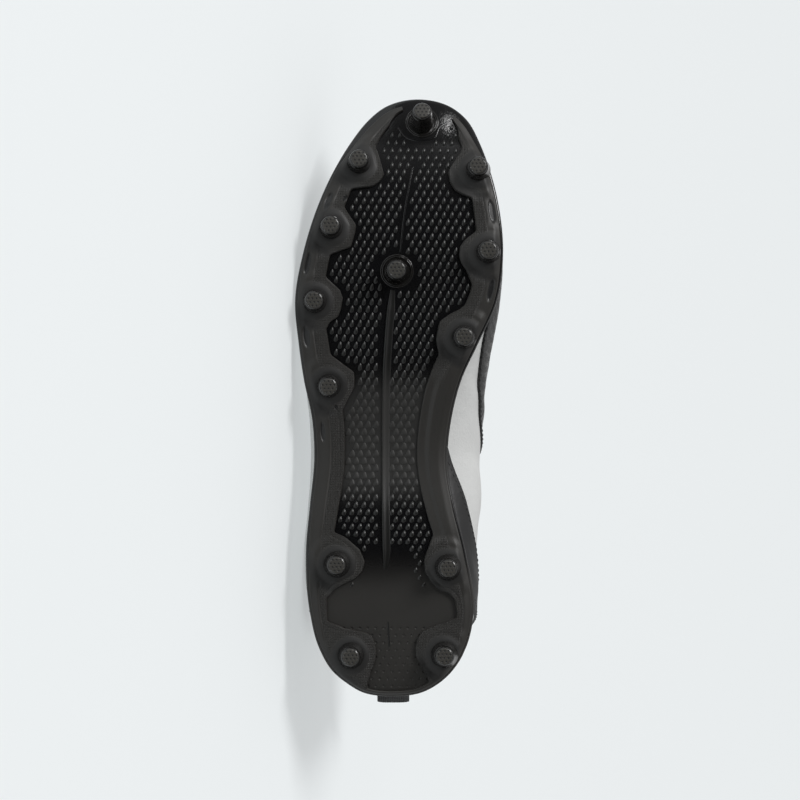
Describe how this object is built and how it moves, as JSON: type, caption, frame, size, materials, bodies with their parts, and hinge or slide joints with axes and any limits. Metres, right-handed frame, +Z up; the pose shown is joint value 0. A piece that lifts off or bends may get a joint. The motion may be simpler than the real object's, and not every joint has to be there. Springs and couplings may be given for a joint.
{
  "type": "american football cleat",
  "caption": "Low-cut football cleat lying on its outer side: moulded studded outsole with a raised frame, white upper with black overlays, flat laces.",
  "frame": {"origin": "on the floor under the middle of the lying shoe's bounding box", "axes": "+X from toe to heel, +Y from the sole's side to the collar, +Z up from the floor the shoe lies on, towards its inner side"},
  "size_m": [0.289, 0.122, 0.099],
  "materials": {
    "plate_gloss": "gloss",
    "frame_matte": "matte",
    "stud_rubber": "satin",
    "insole_foam": "matte",
    "upper_white": "satin",
    "vamp_black": "satin",
    "eyestay_black": "satin",
    "quarter_black": "satin",
    "counter_grey": "satin",
    "collar_knit": "matte",
    "tongue_mesh": "matte",
    "tab_webbing": "matte",
    "eyelet_ring": "satin",
    "lace_weave": "matte"
  },
  "bodies": {
    "root": {"outsole_plate": "plate_gloss", "spine_front": "plate_gloss", "spine_rear": "plate_gloss", "outsole_frame": "frame_matte", "insole": "insole_foam", "upper": "upper_white", "vamp_overlay": "vamp_black", "eyestay": "eyestay_black", "quarter_panel_medial": "quarter_black", "quarter_panel_lateral": "quarter_black", "heel_counter": "counter_grey", "collar_cuff": "collar_knit", "tongue": "tongue_mesh", "pull_tab": "tab_webbing", "lace": "lace_weave", "stud_toe": "stud_rubber", "stud_lateral_1": "stud_rubber", "stud_lateral_2": "stud_rubber", "stud_lateral_3": "stud_rubber", "stud_lateral_4": "stud_rubber", "stud_medial_1": "stud_rubber", "stud_medial_2": "stud_rubber", "stud_medial_3": "stud_rubber", "stud_centre": "stud_rubber", "stud_heel_lateral_front": "stud_rubber", "stud_heel_medial_front": "stud_rubber", "stud_heel_lateral_rear": "stud_rubber", "stud_heel_medial_rear": "stud_rubber", "eyelet_medial_1": "eyelet_ring", "eyelet_medial_2": "eyelet_ring", "eyelet_medial_3": "eyelet_ring", "eyelet_medial_4": "eyelet_ring", "eyelet_medial_5": "eyelet_ring", "eyelet_medial_6": "eyelet_ring", "eyelet_lateral_1": "eyelet_ring", "eyelet_lateral_2": "eyelet_ring", "eyelet_lateral_3": "eyelet_ring", "eyelet_lateral_4": "eyelet_ring", "eyelet_lateral_5": "eyelet_ring", "eyelet_lateral_6": "eyelet_ring"}
  },
  "joints": []
}
